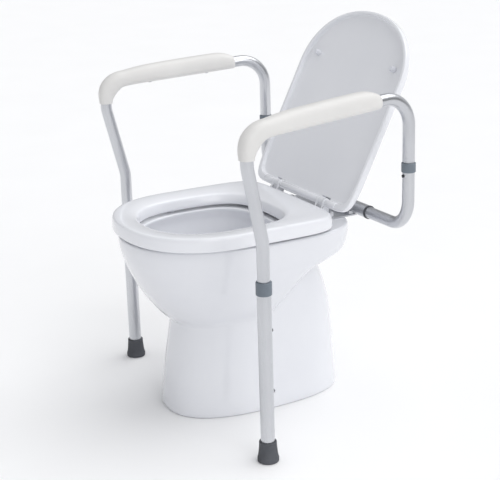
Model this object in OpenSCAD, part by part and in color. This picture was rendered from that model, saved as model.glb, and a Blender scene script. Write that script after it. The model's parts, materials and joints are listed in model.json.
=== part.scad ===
// Toilet support frame clamped to a floor-standing pan: two aluminium arm
// rails with telescopic front legs, a bracket under the seat hinges, and the
// pan, seat and lid that the bracket is bolted to.
// Units are millimetres. X is sideways, -Y is the front of the pan, Z is up,
// and the floor is z = 0.

/* [Pan] */
// Height of the ceramic rim above the floor
rim_z = 400; // [380:5:420]
// Half width of the rim at its widest point
rim_hw = 188; // [180:1:192]
// Half width of the foot of the pedestal
ped_hw = 118; // [105:1:125]
// Spacing of the two seat fixing holes
fix_spacing = 155; // [150:1:160]
// Diameter of the waste outlet socket in the foot
outlet_d = 104; // [90:1:110]
// Diameter of the flush water inlet
inlet_d = 44; // [38:1:44]

/* [Seat and lid] */
// Half width of the seat at its widest point
seat_hw = 195; // [188:1:200]
// Thickness of the seat from underside to top
seat_t = 30; // [24:1:32]
// Length of the lid from its hinge axis
lid_len = 425; // [415:1:432]
// Angle by which the lid stands open at rest
lid_open = 117; // [105:0.5:120]
// Thickness of the closed lid
lid_t = 24; // [20:1:28]

/* [Arm tubes] */
// Outside diameter of the arm tube
arm_od = 25.4; // [25:0.1:25.4]
// Outside diameter of the lower leg tube
leg_od = 28.6; // [28.6:0.1:30]
// Radius of the rear top bend
bend_r = 60; // [50:1:65]
// Distance of each rear upright from the middle
rear_x = 294.5; // [285:0.5:305]
// Distance of each front leg from the middle
leg_x = 327; // [318:1:335]
// Distance of each front leg in front of the rear uprights
leg_y = 361; // [350:1:370]
// Height of the level run of the rear tubes
cross_z = 417.3; // [417.3:0.1:419]

/* [Collars and feet] */
// Outside diameter of the leg collar
collar_od = 32.2; // [31:0.1:34]
// Outside diameter of the rear collar
rear_collar_od = 29.6; // [28.5:0.1:31]
// Diameter of the rubber foot at the floor
foot_d = 44; // [40:1:48]
// Height of the rubber foot
foot_h = 44; // [40:1:50]
// Diameter of the snap buttons
button_d = 7; // [6:0.1:7]

/* [Hidden] */
$fn = 48;
e = 0.01;

// the middle of the overall length sits on the Y origin
oy = 195.33;

// hinge axis of the seat and lid
hy = -82;
hz = rim_z + 43;
seat_z0 = rim_z + 6;
seat_z1 = seat_z0 + seat_t;
pin_d = 8;

// tube walls
arm_id = arm_od - 3.4;
leg_id = arm_od + 0.2;
low_od = arm_od;
spig_od = arm_id;
spig_id = spig_od - 3.4;
low_id = spig_od + 0.2;
sleeve_od = leg_od;
sleeve_id = low_od + 0.2;

// stations of the tubes
shoulder_z = 549;
rear_top_z = 697;
front_top_z = 674;
toe = 6;
front_u = 397;
fx = rear_x + front_u * sin(toe);
fy = -front_u * cos(toe);
front_r = 45;
rear_btn_z = 530;
leg_btn_z = 277;
brk_btn_x = 116;
step = 25;
wslide = 30;
sleeve_end = 150;

white = [0.90, 0.90, 0.93];
plastic = [0.88, 0.87, 0.86];
alu = [0.76, 0.77, 0.79];
grey = [0.42, 0.46, 0.50];
rubber = [0.30, 0.31, 0.33];
steel = [0.70, 0.71, 0.73];

// ---------- helpers ----------
// point on a two-part superellipse outline, in polar form
function se(th, a, bf, br, nf, nr, yc) =
  let (c = abs(cos(th)), s = abs(sin(th)), b = sin(th) < 0 ? bf : br, n = sin(th) < 0 ? nf : nr,
       r = pow(pow(c / a, n) + pow(s / b, n), -1 / n))
  [r * cos(th), yc + r * sin(th)];

// level L = [z, y front, y rear, half width, front exponent, rear exponent]
function level(L, yc, N) = [for (i = [0:N-1])
  let (p = se(i * 360 / N, L[3], yc - L[1], L[2] - yc, L[4], L[5], yc)) [p[0], p[1], L[0]]];

// closed skin over rings of equal count, flat caps or closed into a tube
module skin(rings, loop = false) {
  N = len(rings[0]); M = len(rings);
  pts = [for (r = rings) for (p = r) p];
  side = [for (j = [0:M - (loop ? 1 : 2)]) for (i = [0:N-1])
    let (a = j * N, b = ((j + 1) % M) * N, k = (i + 1) % N)
    each [[a + i, b + i, b + k], [a + i, b + k, a + k]]];
  caps = loop ? [] : [[for (i = [0:N-1]) i], [for (i = [0:N-1]) (M - 1) * N + N - 1 - i]];
  polyhedron(points = pts, faces = concat(side, caps), convexity = 8);
}

function unit(v) = v / norm(v);
// centre line through the points P with bend radii R: a list of [point, tangent]
function line(P, R, k = 7) = let (n = len(P)) concat([[P[0], unit(P[1] - P[0])]],
  [for (i = [1:n-2]) let (a = unit(P[i] - P[i-1]), b = unit(P[i+1] - P[i]), ang = acos(a * b), T = R[i] * tan(ang / 2),
      z = unit(cross(a, b)), c = P[i] - a * T + cross(z, a) * R[i], m = ang < 30 ? 2 : k)
    each [for (j = [0:m]) let (t = ang * j / m) [c - cross(z, a) * R[i] * cos(t) + a * R[i] * sin(t), a * cos(t) + cross(z, a) * sin(t)]]],
  [[P[n-1], unit(P[n-1] - P[n-2])]]);
// hollow skin swept along a centre line; w is a direction square to the bends
module sweep(C, w, od, id, N = 20) {
  k = 1 / sqrt(sin(360 / N) * N / 360 * 180 / PI);
  M = len(C);
  ring = function (q, d) let (x = unit(w - q[1] * (w * q[1])), y = cross(q[1], x))
    [for (i = [0:N-1]) q[0] + (x * cos(i * 360 / N) + y * sin(i * 360 / N)) * d / 2 * k];
  skin(concat([for (q = C) ring(q, od)], [for (j = [0:M-1]) ring(C[M - 1 - j], id)]), true);
}
// straight upright pipe
module upright(x, y, z0, z1, od, id) translate([x, y, z0]) linear_extrude(z1 - z0)
  difference() { circle(d = od); circle(d = id); }
// right-hand side pieces are the mirror image of the left-hand ones
module side(s) { if (s > 0) children(); else mirror([1, 0, 0]) children(); }

// ---------- pan ----------
// outer body of the bowl and rear shelf, from the crease up to the rim
bowl_levels = [
  [196, -392, -240,  92, 2.2, 2.4],
  [208, -410, -222, 106, 2.2, 2.5],
  [224, -428, -205, 120, 2.2, 2.7],
  [244, -444, -185, 136, 2.2, 3.0],
  [268, -461, -162, 151, 2.2, 3.1],
  [296, -477, -136, 165, 2.2, 3.2],
  [318, -487, -104, 173, 2.2, 3.3],
  [332, -493,  -60, 177, 2.2, 3.4],
  [346, -498,  -30, 181, 2.2, 3.4],
  [362, -503,  -22, 184, 2.2, 3.4],
  [388, -507,  -18, 187, 2.2, 3.4],
  [397, -507,  -19, 187, 2.2, 3.4],
  [400, -504,  -22, 184, 2.2, 3.4]];
// pedestal under the bowl
ped_levels = [
  [  0, -428, -22, 118, 2.4, 2.8],
  [  8, -430, -20, 119, 2.4, 2.8],
  [ 60, -425, -24, 116, 2.4, 2.8],
  [130, -414, -29, 113, 2.4, 2.8],
  [200, -402, -36, 112, 2.4, 2.8],
  [245, -398, -48, 112, 2.4, 2.8],
  [285, -396, -64, 112, 2.4, 2.8],
  [312, -394, -78, 112, 2.4, 2.8],
  [330, -392, -86, 112, 2.4, 2.8]];
// inside of the bowl
cav_levels = [
  [176, -318, -236,  34, 2.1, 2.1],
  [184, -336, -226,  46, 2.1, 2.1],
  [204, -362, -214,  64, 2.1, 2.2],
  [236, -396, -202,  88, 2.1, 2.3],
  [276, -426, -192, 110, 2.1, 2.4],
  [316, -448, -184, 125, 2.2, 2.5],
  [352, -461, -178, 133, 2.2, 2.6],
  [376, -466, -174, 136, 2.2, 2.7],
  [388, -464, -176, 134, 2.2, 2.7],
  [402, -460, -180, 130, 2.2, 2.7]];
function lift(L, k) = [for (l = L) [l[0] * rim_z / 400, l[1], l[2], l[3] * k, l[4], l[5]]];

module ceramic_pan() color(white) difference() {
  union() {
    skin([for (l = lift(bowl_levels, rim_hw / 188)) level(l, -250, 44)]);
    skin([for (l = lift(ped_levels, ped_hw / 118)) level(l, -230, 40)]);
  }
  skin([for (l = lift(cav_levels, 1)) level(l, -285, 36)]);
  // waste outlet socket, opening downwards
  translate([0, -115, -1]) cylinder(d = outlet_d, h = 61);
  // flush inlet
  translate([0, -10, 374 - (400 - rim_z)]) rotate([90, 0, 0]) cylinder(d = inlet_d, h = 70);
  // seat fixing holes and the recesses under the shelf
  for (s = [-1, 1]) {
    translate([s * fix_spacing / 2, -60, 340]) cylinder(d = 14, h = 80);
    translate([s * fix_spacing / 2, -60, 290]) cylinder(d = 44, h = 82 - (400 - rim_z));
  }
  // floor fixing holes through the foot of the pedestal
  for (s = [-1, 1]) translate([s * 130, -228, 40]) rotate([0, -90 * s, 0])
    cylinder(d = 9, h = 45);
}

// ---------- seat ----------
// profile around the section: [position from hole (0) to outside (1), height]
seat_prof = [[1.0, 0], [1.0, 18], [0.985, 24], [0.955, 28.2], [0.90, 29.7], [0.78, 30], [0.56, 29.5],
  [0.36, 28], [0.20, 26], [0.11, 24.2], [0.06, 21.5], [0.01, 10], [0.0, 3.5], [0.03, 0], [0.10, 0], [0.14, 6], [0.88, 6], [0.93, 0]];
function seat_out(th, d = 0) = let (p = se(th, seat_hw - d, 192 - d, hy + 308 - d, 2.3, 8, -320)) p;
function seat_in(th) = se(th, 133, 139, 150, 2.3, 3.4, -320);
function seat_pt(th, q) = let (o = seat_out(th), i = seat_in(th), w = q[0]) i + (o - i) * w;

module hinge_cyl(x0, x1, d) translate([x0, hy, hz]) rotate([0, 90, 0]) cylinder(d = d, h = x1 - x0);

module seat_ring() color(white) difference() {
  union() {
    skin([for (q = seat_prof) [for (i = [0:55]) let (p = seat_pt(i * 360 / 56, q))
      [p[0], p[1], seat_z0 + q[1] * seat_t / 30]]], true);
    // ears that carry the hinge pins
    for (s = [-1, 1]) for (x = [79.4, 104.6]) {
      x0 = s > 0 ? x : -x - 8;
      hinge_cyl(x0, x0 + 8, 17);
      translate([x0, hy - 8.5, hz - 20]) cube([8, 14, 20]);
      translate([x0, hy - 20, rim_z + 16]) cube([8, 24, hz - 15 - rim_z - 16]);
    }
  }
  hinge_cyl(-140, 140, pin_d + 0.1);
}
module seat_buffers() color(rubber)
  for (p = [[-152, -330], [152, -330], [-118, -452], [118, -452]])
    translate([p[0], p[1], rim_z + 0.3]) cylinder(d = 16, h = seat_z0 - rim_z + 6 * seat_t / 30 - 0.3);

// ---------- lid ----------
// drawn closed, then turned up about the hinge axis
lid_prof = [[0.25, 13], [0.70, 12.4], [0.93, 10.8], [0.945, 8], [0.95, 0.8], [0.958, 0], [0.985, 0], [0.998, 1.2],
  [1.0, 4], [1.0, 8], [0.992, 14], [0.968, 19], [0.92, 21.5], [0.80, 23], [0.55, 24], [0.25, 24]];
function lid_out(th, w) = let (p = se(th, seat_hw + 5, lid_len - 282, 292, 2.13, 14, hy - 282)) [p[0] * w, hy - 282 + (p[1] - hy + 282) * w];
module turned(a) translate([0, hy, hz]) rotate([-a, 0, 0]) translate([0, -hy, -hz]) children();
lid_z0 = seat_z1 + 2;

module lid_cover() color(white) turned(lid_open) difference() {
  union() {
    skin([for (q = lid_prof) [for (i = [0:55]) let (p = lid_out(i * 360 / 56, q[0]))
      [p[0], p[1], lid_z0 + (q[1] > 12 ? q[1] * lid_t / 24 : q[1])]]]);
    hinge_cyl(-150, 150, 15);
  }
  for (s = [-1, 1]) translate([s > 0 ? 78.9 : -113.1, hy - 11.5, hz - 30]) cube([34.2, 60, 60]);
  hinge_cyl(-127, 127, pin_d + 0.1);
}
module lid_buffers() color([0.86, 0.87, 0.88]) turned(lid_open)
  for (s = [-1, 1]) translate([s * 150, hy - 312, seat_z1 + 0.4])
    cylinder(d1 = 11, d2 = 13, h = lid_z0 - seat_z1 + 12.3);

// ---------- hinges and fixings ----------
module hinge_posts() color([0.83, 0.84, 0.86]) for (s = [-1, 1]) difference() {
  union() {
    translate([s * 96, 0, 0]) {
      hinge_cyl(-8, 8, 18);
      translate([-8, hy - 8, rim_z + 3]) cube([16, 16, hz - rim_z - 3]);
    }
    translate([0, 0, rim_z + 3]) linear_extrude(5) hull() {
      translate([s * fix_spacing / 2, -60]) circle(r = 14);
      translate([s * 96, hy + 4]) circle(r = 12);
    }
  }
  hinge_cyl(-140, 140, pin_d + 0.1);
  translate([s * fix_spacing / 2, -60, rim_z]) cylinder(d = 8.6, h = 12);
}
module hinge_pins() color(steel) for (s = [-1, 1]) translate([s * 96 - 30, 0, 0]) hinge_cyl(0, 60, pin_d);
module fixing_bolts() color(steel) for (s = [-1, 1]) translate([s * fix_spacing / 2, -60, 0]) {
  translate([0, 0, rim_z + 8]) cylinder(d = 14.5, h = 5.3, $fn = 6);
  translate([0, 0, rim_z - 52]) cylinder(d = 8, h = 62);
}
module fixing_washers() color(rubber) for (s = [-1, 1]) translate([s * fix_spacing / 2, -60, rim_z - 31])
  difference() { cylinder(d = 30, h = 3); translate([0, 0, -1]) cylinder(d = 8.1, h = 6); }
module wing_nuts() color(steel) for (s = [-1, 1]) translate([s * fix_spacing / 2, -60, rim_z - 41]) difference() {
  union() {
    cylinder(d = 16, h = 10);
    for (k = [0, 180]) rotate([90, 0, k]) translate([0, 0, -1.6]) linear_extrude(3.2)
      hull() { translate([6, 2]) circle(r = 2); translate([15, -4]) circle(r = 3.4); translate([6, 8]) circle(r = 1.6); }
  }
  translate([0, 0, -1]) cylinder(d = 8.1, h = 14);
}

// ---------- bracket ----------
module bracket_plate() color(steel) difference() {
  union() {
    translate([0, 0, rim_z + 0.05]) linear_extrude(2.95) union() {
      translate([-104, hy + 2]) square([208, -hy - 2]);
      for (s = [-1, 1]) translate([s * 92, hy + 2]) circle(r = 12);
      translate([-92, hy - 10]) square([184, 20]);
    }
    // cradles that the cross tube is welded to
    for (s = [-1, 1]) translate([s * 85, 0, rim_z + 0.05]) difference() {
      translate([-16, -19, 0]) cube([32, 31, 10.95]);
      translate([-20, 0, cross_z - rim_z - 0.05]) rotate([0, 90, 0]) cylinder(d = sleeve_od, h = 40);
    }
  }
  for (s = [-1, 1]) for (dx = [-10, 0, 10])
    translate([s * fix_spacing / 2 + dx, -60, rim_z - 5]) cylinder(d = 8.6, h = 20);
  for (s = [-1, 1]) translate([s * fix_spacing / 2 - 10, -64.3, rim_z - 5]) cube([20, 8.6, 20]);
}
module bracket_tube() color(alu) difference() {
  translate([-sleeve_end, 0, cross_z]) rotate([0, 90, 0]) cylinder(d = sleeve_od, h = 2 * sleeve_end);
  translate([-sleeve_end - 1, 0, cross_z]) rotate([0, 90, 0]) cylinder(d = sleeve_id, h = 2 * sleeve_end + 2);
  for (s = [-1, 1]) translate([s * brk_btn_x, 0, cross_z]) rotate([-90, 0, 0]) cylinder(d = button_d + 0.1, h = 30);
}
module bracket_bushes() color(rubber) for (s = [-1, 1]) side(s)
  translate([sleeve_end, 0, cross_z]) rotate([0, 90, 0]) difference() {
    cylinder(d = sleeve_od + 1, h = 3);
    translate([0, 0, -1]) cylinder(d = sleeve_id, h = 5);
  }

// ---------- tubes, left-hand side ----------
// bent part of the arm tube, between its two straight upright ends
arm_z0 = 605;
arm_z1 = 440;
arm_path = [[rear_x, 0, arm_z0], [rear_x, 0, rear_top_z], [fx, fy, front_top_z],
  [fx, fy, 611], [leg_x, -leg_y, 457], [leg_x, -leg_y, arm_z1]];
arm_r = [0, bend_r, front_r, 80, 80, 0];

module slot_y(x, y, z0, z1, w) {   // slot through one wall, along Z
  for (z = [z0, z1]) translate([x, y, z]) rotate([90, 0, 0]) cylinder(d = w, h = 30);
  translate([x - w / 2, y - 30, z0]) cube([w, 30, z1 - z0]);
}
module rear_tube() color(alu) difference() {
  union() {
    upright(rear_x, 0, cross_z + bend_r, shoulder_z, low_od, low_id);
    translate([rear_x - bend_r, 0, cross_z + bend_r]) rotate([90, 0, 0]) rotate([0, 0, -90]) rotate_extrude(angle = 90, $fn = 72)
      translate([bend_r, 0]) difference() { circle(d = low_od, $fn = 36); circle(d = low_id, $fn = 36); }
    translate([34, 0, cross_z]) rotate([0, 90, 0]) linear_extrude(rear_x - bend_r - 34) difference() { circle(d = low_od); circle(d = low_id); }
  }
  translate([rear_x, 0, rear_btn_z]) rotate([90, 0, 0]) cylinder(d = button_d + 0.1, h = 30);
  // slot for the bracket button, long enough for the width range
  for (x = [brk_btn_x - wslide, brk_btn_x + wslide]) translate([x, 0, cross_z]) rotate([-90, 0, 0]) cylinder(d = button_d + 0.7, h = 30);
  translate([brk_btn_x - wslide, 0, cross_z - (button_d + 0.7) / 2]) cube([2 * wslide, 30, button_d + 0.7]);
}
module rear_collar() color(grey) translate([rear_x, 0, 0]) difference() {
  rotate_extrude() polygon([[arm_od / 2 - 2, 537], [rear_collar_od / 2 - 1, 537], [rear_collar_od / 2, 538], [rear_collar_od / 2, 555.5],
    [rear_collar_od / 2 - 1.2, 557], [arm_od / 2 - 2, 557]]);
  translate([0, 0, 530]) cylinder(d = low_od, h = shoulder_z - 530);
  translate([0, 0, 530]) cylinder(d = arm_od + 0.2, h = 40);
}
module spigot() color(alu) difference() {
  translate([rear_x, 0, 481]) cylinder(d = spig_od, h = 119);
  translate([rear_x, 0, 480]) cylinder(d = spig_id, h = 121);
  slot_y(rear_x, 0, rear_btn_z - step, rear_btn_z, button_d + 0.7);
}
module arm_tube() color(alu) difference() {
  union() {
    upright(rear_x, 0, shoulder_z + 0.3, arm_z0, arm_od, arm_id);
    sweep(line(arm_path, arm_r), [cos(toe), sin(toe), 0], arm_od, arm_id);
    upright(leg_x, -leg_y, 230, arm_z1, arm_od, arm_id);
  }
  translate([leg_x, -leg_y, 0]) rotate([0, 0, 180]) slot_y(0, 0, leg_btn_z - step, leg_btn_z, button_d + 0.7);
  for (u = armrest_screw_u) arm_frame(u) translate([0, 0, -22]) cylinder(d = 4.2, h = 44);
}
module leg_tube() color(alu) translate([leg_x, -leg_y, 0]) difference() {
  translate([0, 0, 8]) cylinder(d = leg_od, h = 370);
  translate([0, 0, 7]) cylinder(d = leg_id, h = 372);
  for (z = [leg_btn_z - 2 * step, leg_btn_z - step, leg_btn_z, leg_btn_z + step, leg_btn_z + 2 * step])
    translate([0, 0, z]) rotate([-90, 0, 0]) cylinder(d = button_d + 0.1, h = 30);
}
module leg_collar() color(grey) translate([leg_x, -leg_y, 0]) difference() {
  rotate_extrude() polygon([[leg_id / 2 - 2, 353], [collar_od / 2 - 1, 353], [collar_od / 2, 354], [collar_od / 2, 378.5],
    [collar_od / 2 - 1.2, 380], [leg_id / 2 - 2, 380]]);
  translate([0, 0, 350]) cylinder(d = leg_od, h = 28);
  translate([0, 0, 350]) cylinder(d = leg_id, h = 40);
}
module foot() color(rubber) translate([leg_x, -leg_y, 0]) difference() {
  rotate_extrude() polygon([[0, 0], [foot_d / 2 - 2, 0], [foot_d / 2, 2], [foot_d / 2, 8], [foot_d / 2 - 1.5, 11],
    [foot_d / 2 - 3.2, 24], [foot_d / 2 - 4.2, foot_h - 3], [foot_d / 2 - 5.2, foot_h - 0.6], [foot_d / 2 - 6, foot_h], [0, foot_h]]);
  translate([0, 0, 8]) cylinder(d = leg_od, h = foot_h);
}

// ---------- armrest ----------
slope = atan((rear_top_z - front_top_z) / front_u);
armrest_screw_u = [150, 290];
// a frame on the top run of the arm tube, its Z square to the tube
module arm_frame(u) translate([rear_x + u * sin(toe), -u * cos(toe), rear_top_z - u * tan(slope)])
  rotate([0, 0, toe]) rotate([slope, 0, 0]) children();
// station: [path position, extent outward, extent inward, half width]; the
// position is the distance forward on the straight, 1000 + degrees round the
// bend, and 2000 + distance down the front
rest_st = [[81, 14, 13.6, 14.2], [82.5, 15.5, 13.7, 15.6], [87, 18, 13.8, 17.6], [95, 21.5, 13.8, 19.4], [106, 25, 13.8, 20.8],
  [122, 27.4, 13.8, 21.6], [150, 28, 13.8, 22], [205, 27.8, 13.8, 22.4], [260, 27.2, 13.8, 22.4], [300, 26, 13.8, 22],
  [325, 24, 14, 21.2], [345, 21.6, 15, 20.2], [1000, 20.6, 15.8, 19.8], [1012, 20.5, 17, 19.4], [1030, 21, 19.5, 18.6], [1048, 21, 20, 17.8],
  [1066, 18.6, 18.6, 16.8], [1082, 15.6, 16.4, 15.8], [2000, 14.8, 15, 15.2], [2006, 14.3, 14.4, 14.7]];
ca = 90 - slope;
rest_pos = concat([for (i = [0:11]) rest_st[i][0]], [for (k = [0:9]) 1000 + ca * k / 9], [2003, 2006]);
ct = front_r * tan(ca / 2);
// start of the bend, and its centre, in the plane of the arm
cs = [front_u, front_top_z] + [-cos(slope), sin(slope)] * ct;
cc = cs + [-sin(slope), -cos(slope)] * front_r;
function rest_c(s) = s < 1000 ? [s, rear_top_z - s * tan(slope)] :
  s < 2000 ? cc + front_r * [sin(slope + s - 1000), cos(slope + s - 1000)] :
  [front_u, cc[1] - (s - 2000)];
function rest_n(s) = s < 1000 ? [sin(slope), cos(slope)] :
  s < 2000 ? [sin(slope + s - 1000), cos(slope + s - 1000)] : [1, 0];
function col(s, k) = lookup(s, [for (q = rest_st) [q[0], q[k]]]);
// outline at one station: the outer skin, or the round bore when bore > 0
function rest_ring(s, N, bore) = [for (i = [0:N-1]) let (t = i * 360 / N, c = cos(t), sn = sin(t),
    b = sn > 0 ? col(s, 1) : col(s, 2), n = 2.5,
    r = bore > 0 ? bore : pow(pow(abs(c) / col(s, 3), n) + pow(abs(sn) / b, n), -1 / n),
    P = rest_c(s) + rest_n(s) * r * sn, v = r * c)
  [rear_x + P[0] * sin(toe) + v * cos(toe), -P[0] * cos(toe) + v * sin(toe), P[1]]];
module armrest() color(plastic) difference() {
  M = len(rest_pos);
  skin(concat([for (s = rest_pos) rest_ring(s, 28, 0)],
    [for (j = [0:M-1]) rest_ring(rest_pos[M - 1 - j], 28, arm_od / 2 + 0.3)]), true);
  for (u = armrest_screw_u) arm_frame(u) translate([0, 0, -22]) cylinder(d = 4.2, h = 40.2);
}
module armrest_screws() color(steel) for (u = armrest_screw_u) arm_frame(u) {
  translate([0, 0, -15]) cylinder(d = 4, h = 33);
  translate([0, 0, -15.6]) cylinder(d = 8, h = 1.8);
}

// ---------- snap buttons ----------
// local frame: pushed along +Y, wall of the outer tube at y = -r
module button(r, ri) color([0.22, 0.23, 0.25]) {
  difference() {
    rotate([90, 0, 0]) union() {
      cylinder(d = button_d, h = r + 1.6);
      translate([0, 0, r + 1.6]) rotate_extrude() intersection() {
        scale([1, 0.5]) circle(d = button_d);
        square([button_d, button_d]);
      }
    }
    translate([-10, -ri, -10]) cube([20, ri + 10, 20]);
  }
  translate([0, -ri + 1.2, 0]) rotate([90, 0, 0]) cylinder(d = 9.6, h = 1.2);
}
// bent leaf behind the button, pushing it out
module leaf(ri) color(steel) translate([-3.9, 0, 0]) rotate([90, 0, 90])
  linear_extrude(7.8) polygon([[-ri + 1.2, 5], [-ri + 1.8, 5], [-ri + 1.8, -18], [-ri + 2.6, -20.4], [-ri + 4, -20.8],
    [3.6, -2], [4.3, -2.3], [-ri + 4.6, -21.5], [-ri + 3, -22], [-ri + 1.6, -20.6], [-ri + 1.2, -18]]);
rbi = sqrt(pow(spig_id / 2, 2) - 25) - 0.3;
lbi = sqrt(pow(arm_id / 2, 2) - 25) - 0.3;
bbi = sqrt(pow(low_id / 2, 2) - 25) - 0.3;
module at_rear() translate([rear_x, 0, rear_btn_z]) children();
module at_leg() translate([leg_x, -leg_y, leg_btn_z]) rotate([0, 0, 180]) children();
module at_bracket() translate([brk_btn_x, 0, cross_z]) rotate([0, 90, 0]) rotate([0, 0, 180]) children();

module whole() translate([0, oy, 0]) children();

whole() ceramic_pan();
whole() seat_ring();
whole() seat_buffers();
whole() lid_cover();
whole() lid_buffers();
whole() hinge_posts();
whole() hinge_pins();
whole() fixing_bolts();
whole() fixing_washers();
whole() wing_nuts();
whole() bracket_plate();
whole() bracket_tube();
whole() bracket_bushes();
whole() side(1) rear_tube();  // left_rear_tube
whole() side(-1) rear_tube();  // right_rear_tube
whole() side(1) rear_collar();  // left_rear_collar
whole() side(-1) rear_collar();  // right_rear_collar
whole() side(1) arm_tube();  // left_arm_tube
whole() side(-1) arm_tube();  // right_arm_tube
whole() side(1) spigot();  // left_spigot
whole() side(-1) spigot();  // right_spigot
whole() side(1) armrest();  // left_armrest
whole() side(-1) armrest();  // right_armrest
whole() side(1) armrest_screws();  // left_armrest_screws
whole() side(-1) armrest_screws();  // right_armrest_screws
whole() side(1) leg_tube();  // left_leg_tube
whole() side(-1) leg_tube();  // right_leg_tube
whole() side(1) leg_collar();  // left_leg_collar
whole() side(-1) leg_collar();  // right_leg_collar
whole() side(1) foot();  // left_foot
whole() side(-1) foot();  // right_foot
whole() side(1) at_rear() button(low_od / 2, rbi);  // left_rear_button
whole() side(-1) at_rear() button(low_od / 2, rbi);  // right_rear_button
whole() side(1) at_leg() button(leg_od / 2, lbi);  // left_leg_button
whole() side(-1) at_leg() button(leg_od / 2, lbi);  // right_leg_button
whole() side(1) at_bracket() button(sleeve_od / 2, bbi);  // left_bracket_button
whole() side(-1) at_bracket() button(sleeve_od / 2, bbi);  // right_bracket_button
whole() side(1) at_rear() leaf(rbi);  // left_rear_button_spring
whole() side(-1) at_rear() leaf(rbi);  // right_rear_button_spring
whole() side(1) at_leg() leaf(lbi);  // left_leg_button_spring
whole() side(-1) at_leg() leaf(lbi);  // right_leg_button_spring
whole() side(1) at_bracket() leaf(bbi);  // left_bracket_button_spring
whole() side(-1) at_bracket() leaf(bbi);  // right_bracket_button_spring
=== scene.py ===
import json
import math
import bpy
import bmesh
import numpy as np
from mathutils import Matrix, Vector


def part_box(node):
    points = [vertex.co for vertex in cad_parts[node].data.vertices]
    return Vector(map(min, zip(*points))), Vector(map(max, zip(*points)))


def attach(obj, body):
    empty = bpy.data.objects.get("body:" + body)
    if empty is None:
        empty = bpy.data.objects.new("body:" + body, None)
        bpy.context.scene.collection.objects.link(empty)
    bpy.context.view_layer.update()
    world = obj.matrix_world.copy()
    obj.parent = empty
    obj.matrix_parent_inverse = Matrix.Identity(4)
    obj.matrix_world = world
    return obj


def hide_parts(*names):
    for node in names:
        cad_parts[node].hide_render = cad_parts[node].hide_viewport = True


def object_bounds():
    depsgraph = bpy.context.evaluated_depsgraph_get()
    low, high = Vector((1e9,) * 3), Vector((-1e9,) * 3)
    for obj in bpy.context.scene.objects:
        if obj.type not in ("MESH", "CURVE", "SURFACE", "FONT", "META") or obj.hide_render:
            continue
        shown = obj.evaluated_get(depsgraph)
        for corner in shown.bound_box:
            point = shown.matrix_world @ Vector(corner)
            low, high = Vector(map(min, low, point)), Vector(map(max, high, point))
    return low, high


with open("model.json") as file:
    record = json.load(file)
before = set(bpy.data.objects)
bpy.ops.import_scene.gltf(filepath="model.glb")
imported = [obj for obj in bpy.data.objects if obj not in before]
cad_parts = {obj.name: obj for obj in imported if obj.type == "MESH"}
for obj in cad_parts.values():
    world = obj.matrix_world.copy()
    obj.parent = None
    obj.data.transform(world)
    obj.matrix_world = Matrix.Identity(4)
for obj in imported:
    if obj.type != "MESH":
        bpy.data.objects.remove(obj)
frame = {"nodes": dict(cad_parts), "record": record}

CAD_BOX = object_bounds()
CAD_BOX = [list(CAD_BOX[0]), list(CAD_BOX[1])]

# The design frame has Y = 0 at the rear uprights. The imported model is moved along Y, by an amount read off a foot.
_lo, _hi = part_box("left_foot")
OY = (_lo.y + _hi.y) / 2 + 0.361
MM = 0.001


# ------------------------------------------------------------------ maths
def pchip(x, y, q):
    """Smooth curve through the points that never overshoots them (Fritsch-Carlson)."""
    x, y, q = (np.asarray(v, float) for v in (x, y, q))
    h = np.diff(x); d = np.diff(y) / h
    m = np.zeros_like(y)
    for i in range(1, len(x) - 1):
        if d[i - 1] * d[i] > 0:
            a, b = 2 * h[i] + h[i - 1], h[i] + 2 * h[i - 1]
            m[i] = (a + b) / (a / d[i - 1] + b / d[i])
    m[0], m[-1] = d[0], d[-1]
    k = np.clip(np.searchsorted(x, q) - 1, 0, len(h) - 1)
    t = np.clip((q - x[k]) / h[k], 0, 1)
    return ((1 + 2 * t) * (1 - t) ** 2 * y[k] + t * (1 - t) ** 2 * h[k] * m[k]
            + t * t * (3 - 2 * t) * y[k + 1] + t * t * (t - 1) * h[k] * m[k + 1])


def se(th, a, bf, br, nf, nr, yc):
    """Point on a superellipse outline with different front and rear halves."""
    c, s = abs(math.cos(th)), abs(math.sin(th))
    b, n = (bf, nf) if math.sin(th) < 0 else (br, nr)
    r = ((c / a) ** n + (s / b) ** n) ** (-1 / n)
    return r * math.cos(th), yc + r * math.sin(th)


def radius_about(level, yc, C, th):
    """Distance from (0, C) to the outline of one level, along each angle in th."""
    yf, yr, hw, nf, nr = level
    lo, hi = np.zeros_like(th), np.full_like(th, 700.0)
    for _ in range(44):
        t = (lo + hi) / 2
        x, y = t * np.cos(th), C + t * np.sin(th) - yc
        f = np.where(y < 0, (abs(x) / hw) ** nf + (abs(y) / (yc - yf)) ** nf, (abs(x) / hw) ** nr + (abs(y) / (yr - yc)) ** nr)
        inside = f < 1
        lo, hi = np.where(inside, t, lo), np.where(inside, hi, t)
    return (lo + hi) / 2


def chaikin(P, closed, times):
    """Cuts the corners of a profile, which rounds it."""
    P = [np.array(p, float) for p in P]
    for _ in range(times):
        Q = [] if closed else [P[0]]
        for i in range(len(P) if closed else len(P) - 1):
            a, b = P[i], P[(i + 1) % len(P)]
            Q += [a * .75 + b * .25, a * .25 + b * .75]
        P = Q if closed else Q + [P[-1]]
    return P


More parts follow.
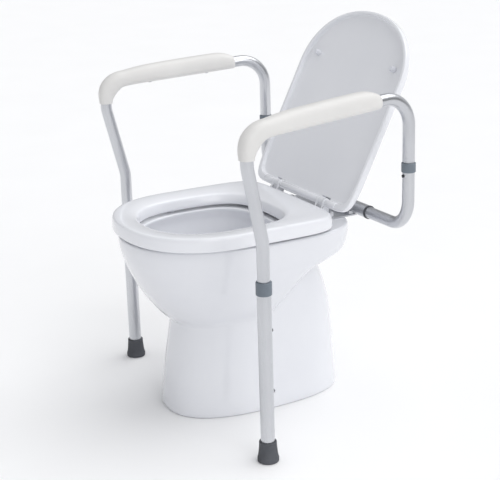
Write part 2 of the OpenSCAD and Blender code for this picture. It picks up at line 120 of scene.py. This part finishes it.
# ------------------------------------------------------------------ meshes
def mesh(name, verts, faces, mats, sharp=50, attr=None):
    """verts are in mm in the design frame."""
    V = np.asarray(verts, float) * MM
    V[:, 1] += OY
    me = bpy.data.meshes.new(name)
    me.from_pydata(V.tolist(), [], faces)
    if attr is not None:
        a = me.attributes.new("flow", "FLOAT_VECTOR", "POINT")
        a.data.foreach_set("vector", np.asarray(attr, np.float32).ravel())
    bm = bmesh.new(); bm.from_mesh(me)
    bmesh.ops.remove_doubles(bm, verts=bm.verts, dist=1e-7)
    bmesh.ops.recalc_face_normals(bm, faces=bm.faces)
    bm.to_mesh(me); bm.free()
    me.shade_smooth()
    me.set_sharp_from_angle(angle=math.radians(sharp))
    o = bpy.data.objects.new(name, me)
    bpy.context.scene.collection.objects.link(o)
    for m in (mats if isinstance(mats, (list, tuple)) else [mats]):
        me.materials.append(m)
    return o


def skin(rings, loop=False, fans=False):
    """Vertices and faces over rings of equal count. Returns (verts, faces)."""
    N, M = len(rings[0]), len(rings)
    V = [tuple(p) for r in rings for p in r]
    F = []
    for j in range(M if loop else M - 1):
        a, b = j * N, ((j + 1) % M) * N
        F += [(a + i, a + (i + 1) % N, b + (i + 1) % N, b + i) for i in range(N)]
    if fans:
        for j, flip in ((0, True), (M - 1, False)):
            c = np.mean([V[j * N + i] for i in range(N)], axis=0); V.append(tuple(c)); k = len(V) - 1
            F += [((j * N + (i + 1) % N, j * N + i, k) if flip else (j * N + i, j * N + (i + 1) % N, k)) for i in range(N)]
    return V, F


def add(parts):
    """Joins several (verts, faces) lists into one."""
    V, F = [], []
    for v, f in parts:
        n = len(V); V += list(v); F += [tuple(i + n for i in q) for q in f]
    return V, F


def mirrored(part):
    return [(-x, y, z) for x, y, z in part[0]], part[1]


def rod(x0, x1, y, z, r, rnd=1.0, N=48):
    """A rod along X with rounded ends."""
    st = [(x0, r - rnd), (x0 + rnd * .3, r - rnd * .3), (x0 + rnd, r), (x1 - rnd, r), (x1 - rnd * .3, r - rnd * .3), (x1, r - rnd)]
    return skin([[(x, y + q * math.cos(t), z + q * math.sin(t)) for t in np.linspace(0, 2 * math.pi, N, endpoint=False)] for x, q in st], fans=True)


def slab(x0, x1, outline, rnd=1.0):
    """An outline in the YZ plane, given thickness along X, with rounded edges."""
    P = np.array(outline, float); c = P.mean(0)
    def inset(d):
        n = P - c; L = np.linalg.norm(n, axis=1)[:, None]; return P - n / L * d
    st = [(x0, rnd), (x0 + rnd * .3, rnd * .3), (x0 + rnd, 0), (x1 - rnd, 0), (x1 - rnd * .3, rnd * .3), (x1, rnd)]
    return skin([[(x, q[0], q[1]) for q in inset(d)] for x, d in st], fans=True)


def cut(o, cutters):
    """Takes cylinders or boxes out of a piece, and removes the cutters."""
    for kind, data in cutters:
        if kind == "cyl":
            a, b, r = (np.array(data[0], float), np.array(data[1], float), data[2])
            d = (b - a) / np.linalg.norm(b - a)
            u = np.cross(d, [0, 0, 1] if abs(d[2]) < .9 else [1, 0, 0]); u /= np.linalg.norm(u); w = np.cross(d, u)
            ring = lambda c: [tuple(c + (u * math.cos(t) + w * math.sin(t)) * r) for t in np.linspace(0, 2 * math.pi, 64, endpoint=False)]
            V, F = skin([ring(a), ring(b)], fans=True)
        else:
            (x0, y0, z0), (x1, y1, z1) = data
            V = [(x, y, z) for x in (x0, x1) for y in (y0, y1) for z in (z0, z1)]
            F = [(0, 1, 3, 2), (4, 6, 7, 5), (0, 4, 5, 1), (2, 3, 7, 6), (0, 2, 6, 4), (1, 5, 7, 3)]
        c = mesh("cutter", V, F, o.data.materials[0])
        m = o.modifiers.new("cut", "BOOLEAN"); m.operation = "DIFFERENCE"; m.solver = "EXACT"; m.object = c
        bpy.context.view_layer.update()
        dg = bpy.context.evaluated_depsgraph_get()
        new = bpy.data.meshes.new_from_object(o.evaluated_get(dg))
        o.modifiers.clear(); old = o.data; o.data = new
        bpy.data.meshes.remove(old); bpy.data.objects.remove(c)
    o.data.shade_smooth(); o.data.set_sharp_from_angle(angle=math.radians(40))
    return o


# ------------------------------------------------------------------ materials
class Mat:
    """A small helper over one node material."""
    def __init__(self, name, **sockets):
        self.m = bpy.data.materials.new(name); self.m.use_nodes = True
        self.t = self.m.node_tree; self.b = self.t.nodes["Principled BSDF"]
        for k, v in sockets.items():
            self.b.inputs[k.replace("_", " ")].default_value = v

    def n(self, kind, **props):
        x = self.t.nodes.new(kind)
        for k, v in props.items(): setattr(x, k, v)
        return x

    def link(self, a, b): self.t.links.new(a, b)

    def coords(self, scale=(1, 1, 1), attr=None):
        if attr:
            src = self.n("ShaderNodeAttribute", attribute_name=attr).outputs["Vector"]
        else:
            src = self.n("ShaderNodeTexCoord").outputs["Object"]
        mp = self.n("ShaderNodeMapping"); mp.inputs["Scale"].default_value = scale
        self.link(src, mp.inputs["Vector"]); return mp.outputs["Vector"]

    def noise(self, vec, scale, detail=3.0, rough=.55):
        x = self.n("ShaderNodeTexNoise")
        x.inputs["Scale"].default_value = scale; x.inputs["Detail"].default_value = detail; x.inputs["Roughness"].default_value = rough
        self.link(vec, x.inputs["Vector"]); return x.outputs["Fac"]

    def ramp(self, fac, a, b, pa=.3, pb=.7):
        x = self.n("ShaderNodeValToRGB"); e = x.color_ramp.elements
        e[0].position, e[1].position = pa, pb
        e[0].color = (*a, 1) if len(a) == 3 else a; e[1].color = (*b, 1) if len(b) == 3 else b
        self.link(fac, x.inputs["Fac"]); return x.outputs["Color"]

    def span(self, fac, lo, hi):
        x = self.n("ShaderNodeMapRange"); x.inputs["From Min"].default_value = .25; x.inputs["From Max"].default_value = .75
        x.inputs["To Min"].default_value = lo; x.inputs["To Max"].default_value = hi
        self.link(fac, x.inputs["Value"]); return x.outputs["Result"]

    def bump(self, height, strength, distance=.001, under=None):
        x = self.n("ShaderNodeBump"); x.inputs["Strength"].default_value = strength; x.inputs["Distance"].default_value = distance
        self.link(height, x.inputs["Height"])
        if under is not None: self.link(under, x.inputs["Normal"])
        return x.outputs["Normal"]

    def put(self, **kw):
        for k, v in kw.items(): self.link(v, self.b.inputs[k.replace("_", " ")])
        return self.m


def glazed(name, light, dark, rough, coat, grain=26):
    """Glazed china or high-gloss moulding: a faint wave in the surface, and cloudy changes in tone and gloss."""
    k = Mat(name, IOR=1.5, Coat_Weight=coat, Coat_Roughness=.04, Specular_IOR_Level=.5)
    v = k.coords()
    cloud = k.noise(v, 5.5, 4); fine = k.noise(v, 900, 2); wave = k.noise(v, grain, 2, .4)
    return k.put(Base_Color=k.ramp(cloud, dark, light), Roughness=k.span(cloud, rough[0], rough[1]),
                 Normal=k.bump(fine, .05, .0002, k.bump(wave, .10, .0012)))


def moulded(name, light, dark, rough, grain, depth):
    """Fine-textured moulded plastic or rubber."""
    k = Mat(name, IOR=1.47, Specular_IOR_Level=.45)
    v = k.coords()
    cloud = k.noise(v, 14, 4); fine = k.noise(v, grain, 3); worn = k.noise(v, 60, 5)
    return k.put(Base_Color=k.ramp(cloud, dark, light), Roughness=k.span(worn, rough[0], rough[1]),
                 Normal=k.bump(fine, depth, .0003))


def drawn(name, scale, rough=(.24, .34), attr=None, light=(.63, .64, .665), dark=(.57, .58, .605)):
    """Satin anodised tube: fine lines along the tube, and a faint cloudiness from handling."""
    k = Mat(name, Metallic=1.0)
    v = k.coords(scale, attr); w = k.coords()
    lines = k.noise(v, 1.0, 5, .7); cloud = k.noise(w, 7, 2)
    return k.put(Base_Color=k.ramp(cloud, dark, light), Roughness=k.span(lines, rough[0], rough[1]), Normal=k.bump(lines, .10, .0002))


CERAMIC = glazed("ceramic", (.80, .81, .845), (.765, .775, .815), (.07, .13), .45)
SEAT = glazed("seat_white", (.84, .85, .885), (.815, .825, .865), (.13, .20), .30, 34)
HINGE = glazed("hinge_white", (.80, .81, .84), (.76, .77, .81), (.20, .30), .1, 60)
ARM = moulded("arm_plastic", (.74, .73, .715), (.71, .70, .685), (.34, .46), 1500, .16)
COLLAR = moulded("collar_grey", (.185, .215, .250), (.150, .178, .210), (.36, .50), 1300, .22)
RUBBER = moulded("rubber_grey", (.095, .100, .112), (.066, .070, .080), (.58, .78), 700, .38)
BUFFER = moulded("buffer_white", (.78, .79, .83), (.72, .73, .78), (.45, .6), 900, .2)
BUTTON = moulded("button_dark", (.030, .032, .036), (.018, .020, .024), (.25, .4), 1400, .15)
TUBE_FLOW = drawn("anodised_flow", (60, 60, 3), attr="flow")
TUBE_Z = drawn("anodised_upright", (900, 900, 14))
TUBE_X = drawn("anodised_level", (14, 900, 900))
STEEL = drawn("zinc_steel", (420, 420, 420), (.30, .50), light=(.66, .67, .69), dark=(.50, .51, .54))

SLOT = {"ceramic": CERAMIC, "seat_white": SEAT, "hinge_white": HINGE, "arm_plastic": ARM, "collar_grey": COLLAR, "rubber_grey": RUBBER,
        "buffer_white": BUFFER, "button_dark": BUTTON, "anodised": TUBE_Z, "steel": STEEL}
for sub in frame["record"]["subparts"]:
    o = frame["nodes"][sub["node"]]
    o.data.materials.clear()
    o.data.materials.append(TUBE_X if sub["node"] == "bracket_tube" else SLOT[sub["material_slot"]])
    o.data.shade_smooth(); o.data.set_sharp_from_angle(angle=math.radians(32))


def place(o, body, nodes):
    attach(o, body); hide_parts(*nodes)
    return o


# ------------------------------------------------------------------ pan
BOWL = [[196, -392, -240, 92, 2.2, 2.4], [208, -410, -222, 106, 2.2, 2.5], [224, -428, -205, 120, 2.2, 2.7], [244, -444, -185, 136, 2.2, 3.0],
        [268, -461, -162, 151, 2.2, 3.1], [296, -477, -136, 165, 2.2, 3.2], [318, -487, -104, 173, 2.2, 3.3], [332, -493, -60, 177, 2.2, 3.4],
        [346, -498, -30, 181, 2.2, 3.4], [362, -503, -22, 184, 2.2, 3.4], [388, -507, -18, 187, 2.2, 3.4], [400, -507, -19, 187, 2.2, 3.4]]
PED = [[0, -428, -22, 118, 2.4, 2.8], [8, -430, -20, 119, 2.4, 2.8], [60, -425, -24, 116, 2.4, 2.8], [130, -414, -29, 113, 2.4, 2.8],
       [200, -402, -36, 112, 2.4, 2.8], [245, -398, -48, 112, 2.4, 2.8], [285, -396, -64, 112, 2.4, 2.8], [312, -394, -78, 112, 2.4, 2.8],
       [330, -392, -86, 112, 2.4, 2.8]]
CAV = [[176, -318, -236, 34, 2.1, 2.1], [184, -336, -226, 46, 2.1, 2.1], [204, -362, -214, 64, 2.1, 2.2], [236, -396, -202, 88, 2.1, 2.3],
       [276, -426, -192, 110, 2.1, 2.4], [316, -448, -184, 125, 2.2, 2.5], [352, -461, -178, 133, 2.2, 2.6], [376, -466, -174, 136, 2.2, 2.7],
       [388, -464, -176, 134, 2.2, 2.7], [402, -460, -180, 130, 2.2, 2.7]]


def at(levels, z):
    L = np.array(levels, float)
    return [float(pchip(L[:, 0], L[:, k], [z])[0]) for k in range(1, 6)]


def make_pan():
    N, C = 208, -270.0
    th = np.linspace(0, 2 * np.pi, N, endpoint=False)
    rings = []
    zs = [0, .6, 1.6, 3] + list(np.arange(7, 190, 4.5)) + list(np.arange(190, 318, 2.2)) + list(np.arange(318, 364, 1.1)) + list(np.arange(365, 394, 3))
    zs += [395 + 5 * math.sin(a) for a in np.linspace(0, math.pi / 2, 7)]
    for z in zs:
        rp = radius_about(at(PED, min(z, 330)), -230, C, th) - max(0, z - 330) * .4
        if z >= 196:
            rb = radius_about(at(BOWL, z), -250, C, th)
        else:
            rb = radius_about(at(BOWL, 196), -250, C, th) - (196 - z) * 1.6
        k = 9.0
        h = np.maximum(k - abs(rb - rp), 0) / k
        r = np.maximum(rb, rp) + h * h * k / 4 * (1 if z < 372 else 0)
        if z < 3: r = r - (3 - math.sqrt(9 - (3 - z) ** 2))
        if z > 395: r = r - (5 - math.sqrt(max(0, 25 - (z - 395) ** 2)))
        rings.append([(r[i] * math.cos(th[i]), C + r[i] * math.sin(th[i]), z) for i in range(N)])
    # over the rim and down into the bowl
    for a in np.linspace(math.pi / 2, 0, 7):
        z = 394 + 6 * math.sin(a); L = at(CAV, z); g = 6 - 6 * math.cos(a)
        r = radius_about(L, -285, -285.0, th) + g
        rings.append([(r[i] * math.cos(th[i]), -285 + r[i] * math.sin(th[i]), z) for i in range(N)])
    for z in list(np.arange(391, 180, -3.5)) + [178]:
        r = radius_about(at(CAV, z), -285, -285.0, th)
        rings.append([(r[i] * math.cos(th[i]), -285 + r[i] * math.sin(th[i]), z) for i in range(N)])
    r0 = radius_about(at(CAV, 176.5), -285, -285.0, th)
    for w, z in ((.93, 176.2), (.8, 174.4), (.6, 172.6), (.35, 171.4), (.12, 171)):
        rings.append([(r0[i] * w * math.cos(th[i]), -285 + r0[i] * w * math.sin(th[i]), z) for i in range(N)])
    V, F = skin(rings, fans=True)
    o = mesh("pan_body", V, F, CERAMIC)
    cutters = [("cyl", ((0, -115, -5), (0, -115, 60), 52)), ("cyl", ((0, -80, 374), (0, 20, 374), 22))]
    for s in (-1, 1):
        cutters += [("cyl", ((s * 77.5, -60, 350), (s * 77.5, -60, 420), 7)), ("cyl", ((s * 77.5, -60, 285), (s * 77.5, -60, 372), 22)),
                    ("cyl", ((s * 85, -228, 40), (s * 140, -228, 40), 4.5))]
    return cut(o, cutters)


place(make_pan(), "root", ["ceramic_pan"])


# ------------------------------------------------------------------ seat
HY, HZ = -82.0, 443.0
SEAT_PROF = [(1.0, 0), (1.0, 18), (0.985, 24), (0.955, 28.2), (0.90, 29.7), (0.78, 30), (0.56, 29.5), (0.36, 28), (0.20, 26), (0.11, 24.2), (0.06, 21.5),
             (0.01, 10), (0.0, 3.5), (0.03, 0), (0.10, 0), (0.14, 6), (0.88, 6), (0.93, 0)]


def make_seat():
    N = 208
    th = np.linspace(0, 2 * np.pi, N, endpoint=False)
    out = np.array([se(t, 195, 192, HY + 308, 2.3, 8, -320) for t in th])
    inn = np.array([se(t, 133, 139, 150, 2.3, 3.4, -320) for t in th])
    rings = []
    for w, z in chaikin(SEAT_PROF, True, 2):
        p = inn + (out - inn) * w
        rings.append([(p[i][0], p[i][1], 406 + z) for i in range(N)])
    parts = [skin(rings, loop=True)]
    ear = [(-20, -27), (-20, -16), (-12, -11), (-9.2, -5)] + [(8.5 * math.cos(a), 8.5 * math.sin(a)) for a in np.linspace(math.pi * .97, 0, 20)]
    ear += [(8.3, -4), (6, -12), (4, -18), (4, -27)]
    for s in (-1, 1):
        for x in (79.4, 104.6):
            x0 = x if s > 0 else -x - 8
            parts.append(slab(x0, x0 + 8, [(HY + a, HZ + b) for a, b in ear], .8))
    V, F = add(parts)
    return mesh("seat_moulding", V, F, SEAT, 45)


place(make_seat(), "seat", ["seat_ring"])


# ------------------------------------------------------------------ lid
LID_OPEN = 117.0
LID_PROF = [(0.25, 13), (0.70, 12.4), (0.93, 10.8), (0.945, 8), (0.95, 0.8), (0.958, 0), (0.985, 0), (0.998, 1.2), (1.0, 4), (1.0, 8),
            (0.992, 14), (0.968, 19), (0.92, 21.5), (0.80, 23), (0.55, 24), (0.25, 24)]


def turned(V, a=LID_OPEN):
    c, s = math.cos(math.radians(-a)), math.sin(math.radians(-a))
    return [(x, HY + (y - HY) * c - (z - HZ) * s, HZ + (y - HY) * s + (z - HZ) * c) for x, y, z in V]


def make_lid():
    N, C = 208, HY - 282
    th = np.linspace(0, 2 * np.pi, N, endpoint=False)
    out = np.array([se(t, 200, 143, 292, 2.13, 14, C) for t in th])
    rings = []
    prof = [(0.06, 13.2)] + [tuple(q) for q in chaikin(LID_PROF, False, 2)] + [(0.06, 24.0)]
    for w, z in prof:
        rings.append([(out[i][0] * w, C + (out[i][1] - C) * w, 438 + z) for i in range(N)])
    V, F = skin(rings, fans=True)
    o = mesh("lid_moulding", V, F, SEAT, 45)
    o = cut(o, [("box", ((x0, HY - 11.5, HZ - 30), (x0 + 34.2, HY + 60, HZ + 30))) for x0 in (78.9, -113.1)])
    rods = add([rod(a, b, HY, HZ, 7.5, 1.2) for a, b in ((-150, -113.1), (-78.9, 78.9), (113.1, 150))])
    r = mesh("lid_rods", rods[0], rods[1], SEAT, 45)
    bm = bmesh.new(); bm.from_mesh(o.data); bm.from_mesh(r.data); bm.to_mesh(o.data); bm.free()
    bpy.data.objects.remove(r)
    me = o.data
    co = np.zeros(len(me.vertices) * 3); me.vertices.foreach_get("co", co); co = co.reshape(-1, 3)
    co[:, 1] -= OY
    co = np.array(turned((co / MM).tolist())) * MM
    co[:, 1] += OY
    me.vertices.foreach_set("co", co.ravel()); me.update()
    me.shade_smooth(); me.set_sharp_from_angle(angle=math.radians(45))
    return o


place(make_lid(), "lid", ["lid_cover"])


# ------------------------------------------------------------------ tubes
def unit(v): return v / np.linalg.norm(v)


def centre_line(P, R):
    """Points and directions along a path whose corners are bent to the radii R."""
    P = [np.array(p, float) for p in P]
    out = [(P[0], unit(P[1] - P[0]))]
    for i in range(1, len(P) - 1):
        a, b = unit(P[i] - P[i - 1]), unit(P[i + 1] - P[i])
        ang = math.acos(float(np.clip(a @ b, -1, 1))); T = R[i] * math.tan(ang / 2)
        z = unit(np.cross(a, b)); c = P[i] - a * T + np.cross(z, a) * R[i]
        for t in np.linspace(0, ang, max(5, int(math.degrees(ang) / 3))):
            out.append((c - np.cross(z, a) * R[i] * math.cos(t) + a * R[i] * math.sin(t), a * math.cos(t) + np.cross(z, a) * math.sin(t)))
    out.append((P[-1], unit(P[-1] - P[-2])))
    return out


def tube(path, radii, w, od, idia, N=56):
    """A hollow tube with softened ends. Returns (verts, faces, flow)."""
    L = centre_line(path, radii); w = np.array(w, float)
    dist = [0.0]
    for (p, _), (q, _) in zip(L, L[1:]): dist.append(dist[-1] + float(np.linalg.norm(q - p)))
    def ring(q, d):
        x = unit(w - q[1] * (w @ q[1])); y = np.cross(q[1], x)
        return [tuple(q[0] + (x * math.cos(t) + y * math.sin(t)) * d / 2) for t in np.linspace(0, 2 * math.pi, N, endpoint=False)]
    rings, flow = [], []
    def put(q, d, s):
        rings.append(ring(q, d)); flow.extend([(math.cos(t), math.sin(t), s * .01) for t in np.linspace(0, 2 * math.pi, N, endpoint=False)])
    e0 = (L[0][0] + L[0][1] * .4, L[0][1]); e1 = (L[-1][0] - L[-1][1] * .4, L[-1][1])
    put(L[0], od - .8, 0); put(e0, od, 0)
    for q, s in zip(L[1:-1], dist[1:-1]): put(q, od, s)
    put(e1, od, dist[-1]); put(L[-1], od - .8, dist[-1])
    put(L[-1], idia, dist[-1])
    for q, s in zip(reversed(L[1:-1]), reversed(dist[1:-1])): put(q, idia, s)
    put(L[0], idia, 0)
    V, F = skin(rings, loop=True)
    return V, F, flow


TOE = math.radians(6)
FX, FY = 294.5 + 397 * math.sin(TOE), -397 * math.cos(TOE)
ARM_PATH = [(294.5, 0, 549.3), (294.5, 0, 697), (FX, FY, 674), (FX, FY, 611), (327, -361, 457), (327, -361, 230)]
V, F, flow = tube(ARM_PATH, [0, 60, 45, 80, 80, 0], (math.cos(TOE), math.sin(TOE), 0), 25.4, 22.0)
for side, s in (("left", 1), ("right", -1)):
    o = mesh(side + "_rail", [(s * x, y, z) for x, y, z in V], F, TUBE_FLOW, 60, [(s * a, b, c) for a, b, c in flow])
    place(o, side + "_arm", [side + "_arm_tube"])

REAR_PATH = [(34, 0, 417.3), (294.5, 0, 417.3), (294.5, 0, 549)]
V2, F2, flow2 = tube(REAR_PATH, [0, 60, 0], (0, 1, 0), 25.4, 22.2)
for side, s in (("left", 1), ("right", -1)):
    o = mesh(side + "_rear_rail", [(s * x, y, z) for x, y, z in V2], F2, TUBE_FLOW, 60, [(s * a, b, c) for a, b, c in flow2])
    o = cut(o, [("cyl", ((s * 294.5, -3, 530), (s * 294.5, -30, 530), 3.55))])
    place(o, side + "_rear", [side + "_rear_tube"])


# ------------------------------------------------------------------ armrests
SLOPE = math.atan((697 - 674) / 397)
REST = [[81, 14, 13.6, 14.2], [82.5, 15.5, 13.7, 15.6], [87, 18, 13.8, 17.6], [95, 21.5, 13.8, 19.4], [106, 25, 13.8, 20.8],
        [122, 27.4, 13.8, 21.6], [150, 28, 13.8, 22], [205, 27.8, 13.8, 22.4], [260, 27.2, 13.8, 22.4], [300, 26, 13.8, 22],
        [325, 24, 14, 21.2], [345, 21.6, 15, 20.2], [1000, 20.6, 15.8, 19.8], [1012, 20.5, 17, 19.4], [1030, 21, 19.5, 18.6], [1048, 21, 20, 17.8],
        [1066, 18.6, 18.6, 16.8], [1082, 15.6, 16.4, 15.8], [2000, 14.8, 15, 15.2], [2006, 14.3, 14.4, 14.7]]
CA = math.pi / 2 - SLOPE
CS_U = 397 - math.cos(SLOPE) * 45 * math.tan(CA / 2)
CS = np.array([CS_U, 674 + math.sin(SLOPE) * 45 * math.tan(CA / 2)])
CC = CS + np.array([-math.sin(SLOPE), -math.cos(SLOPE)]) * 45


def rest_t(s):
    if s < 1000: return s
    if s < 2000: return CS_U + 45 * math.radians(s - 1000)
    return CS_U + 45 * CA + (s - 2000)


def rest_frame(t):
    if t < CS_U: return np.array([t, 697 - t * math.tan(SLOPE)]), np.array([math.sin(SLOPE), math.cos(SLOPE)])
    a = SLOPE + (t - CS_U) / 45
    if a < math.pi / 2: n = np.array([math.sin(a), math.cos(a)]); return CC + 45 * n, n
    return np.array([397, CC[1] - (t - CS_U - 45 * CA)]), np.array([1.0, 0.0])


def make_rest():
    T = [rest_t(q[0]) for q in REST]
    ts = [81, 81.3, 81.8, 82.5, 83.6, 85] + list(np.arange(87, T[-1] - 1, 2.6)) + [T[-1] - .4, T[-1]]
    up, dn, hw = (pchip(T, [q[k] for q in REST], ts) for k in (1, 2, 3))
    N = 72; rings = []
    def ring(t, a, b, c, bore):
        P0, n = rest_frame(t); out = []
        for ph in np.linspace(0, 2 * math.pi, N, endpoint=False):
            co, si = math.cos(ph), math.sin(ph)
            r = bore if bore else ((abs(co) / c) ** 2.5 + (abs(si) / (a if si > 0 else b)) ** 2.5) ** (-1 / 2.5)
            P = P0 + n * r * si; v = r * co
            out.append((294.5 + P[0] * math.sin(TOE) + v * math.cos(TOE), -P[0] * math.cos(TOE) + v * math.sin(TOE), P[1]))
        return out
    for i, t in enumerate(ts): rings.append(ring(t, up[i], dn[i], hw[i], 0))
    for t in reversed(ts): rings.append(ring(t, 0, 0, 0, 13.0))
    return skin(rings, loop=True)


rest = make_rest()
for side, s in (("left", 1), ("right", -1)):
    o = mesh(side + "_arm_pad", [(s * x, y, z) for x, y, z in rest[0]], rest[1], ARM, 60)
    place(o, side + "_arm", [side + "_armrest"])


# ------------------------------------------------------------------ feet
def lathe(x, y, prof, N=64):
    return skin([[(x + r * math.cos(t), y + r * math.sin(t), z) for t in np.linspace(0, 2 * math.pi, N, endpoint=False)] for r, z in prof], loop=True)


FOOT = [(14.5, 8), (2, 8), (2, 0.8), (9, 0.8), (9.4, 0), (13, 0), (13.4, 0.8), (16, 0.8), (16.4, 0), (20.2, 0), (21.4, .5), (22, 1.8), (22, 8),
        (21.3, 10.4), (20.6, 12), (19.4, 20), (18.6, 28), (18.0, 36), (17.7, 39), (18.1, 40.2), (18.0, 42.2), (17.2, 43.6), (16, 44), (14.9, 43.6), (14.5, 42)]
for side, s in (("left", 1), ("right", -1)):
    Vf, Ff = lathe(s * 327, -361, chaikin(FOOT, True, 1))
    o = mesh(side + "_ferrule", Vf, Ff, RUBBER, 55)
    place(o, side + "_leg", [side + "_foot"])


# ------------------------------------------------------------------ stage, light, camera
def make_floor():
    n, S = 24, 70.0
    V = [((i / n - .5) * S, (j / n - .5) * S, -0.0004) for j in range(n + 1) for i in range(n + 1)]
    F = [(j * (n + 1) + i, j * (n + 1) + i + 1, (j + 1) * (n + 1) + i + 1, (j + 1) * (n + 1) + i) for j in range(n) for i in range(n)]
    me = bpy.data.meshes.new("floor"); me.from_pydata(V, [], F)
    o = bpy.data.objects.new("floor", me); bpy.context.scene.collection.objects.link(o)
    k = Mat("floor_paper", Specular_IOR_Level=.15)
    f = k.noise(k.coords(), 3, 3)
    me.materials.append(k.put(Base_Color=k.ramp(f, (.925, .925, .93), (.935, .935, .94)), Roughness=k.span(f, .7, .8)))


make_floor()


def sun(name, towards, strength, soft):
    l = bpy.data.lights.new(name, "SUN"); l.energy = strength; l.angle = math.radians(soft)
    o = bpy.data.objects.new(name, l)
    o.rotation_euler = Vector(towards).to_track_quat("Z", "Y").to_euler()
    bpy.context.scene.collection.objects.link(o)


sun("top", (.10, .50, 1.0), 1.40, 60)
sun("key", (1.0, .05, .50), .80, 40)


def make_world():
    """A pale studio whose brightness turns with the direction, so that round tubes show light and dark bands."""
    w = bpy.data.worlds.new("studio"); bpy.context.scene.world = w; w.use_nodes = True
    t = w.node_tree; bg = t.nodes["Background"]

    def op(kind, a, b=None, c=None):
        n = t.nodes.new("ShaderNodeMath"); n.operation = kind
        for i, v in enumerate((a, b, c)):
            if v is None: continue
            if isinstance(v, (int, float)): n.inputs[i].default_value = v
            else: t.links.new(v, n.inputs[i])
        return n.outputs[0]
    co = t.nodes.new("ShaderNodeTexCoord"); sep = t.nodes.new("ShaderNodeSeparateXYZ")
    t.links.new(co.outputs["Generated"], sep.inputs[0])
    x, y, z = sep.outputs
    turn = op("MULTIPLY_ADD", op("ARCTAN2", y, x), 3.0, 0.6)
    flat = op("SUBTRACT", 1.0, op("MINIMUM", op("ABSOLUTE", z), 1.0))
    band = op("MULTIPLY", op("MULTIPLY", op("COSINE", turn), .34), flat)
    up = op("MULTIPLY_ADD", z, .18, .46)
    t.links.new(op("MAXIMUM", op("ADD", up, band), .04), bg.inputs["Strength"])
    bg.inputs["Color"].default_value = (.97, .98, 1, 1)


make_world()
bpy.context.scene.view_settings.view_transform = "Standard"


def make_camera():
    az, el, roll, dist, f = math.radians(61.71), math.radians(17.297), math.radians(-1.715), 2.767, 1259.3
    tgt = Vector((0, -0.212 + OY, 0.3525))
    back = Vector((math.sin(az) * math.cos(el), -math.cos(az) * math.cos(el), math.sin(el)))
    pos = tgt + back * dist; fwd = -back
    right = fwd.cross(Vector((0, 0, 1))).normalized(); up = right.cross(fwd)
    r2 = right * math.cos(roll) + up * math.sin(roll); u2 = -right * math.sin(roll) + up * math.cos(roll)
    c = bpy.data.cameras.new("camera"); c.sensor_width = 36; c.sensor_fit = "HORIZONTAL"; c.lens = f * 36 / 500
    o = bpy.data.objects.new("camera", c); bpy.context.scene.collection.objects.link(o)
    from mathutils import Matrix
    M = Matrix.Identity(4)
    for i in range(3): M[i][0], M[i][1], M[i][2], M[i][3] = r2[i], u2[i], back[i], pos[i]
    o.matrix_world = M
    bpy.context.scene.camera = o


make_camera()
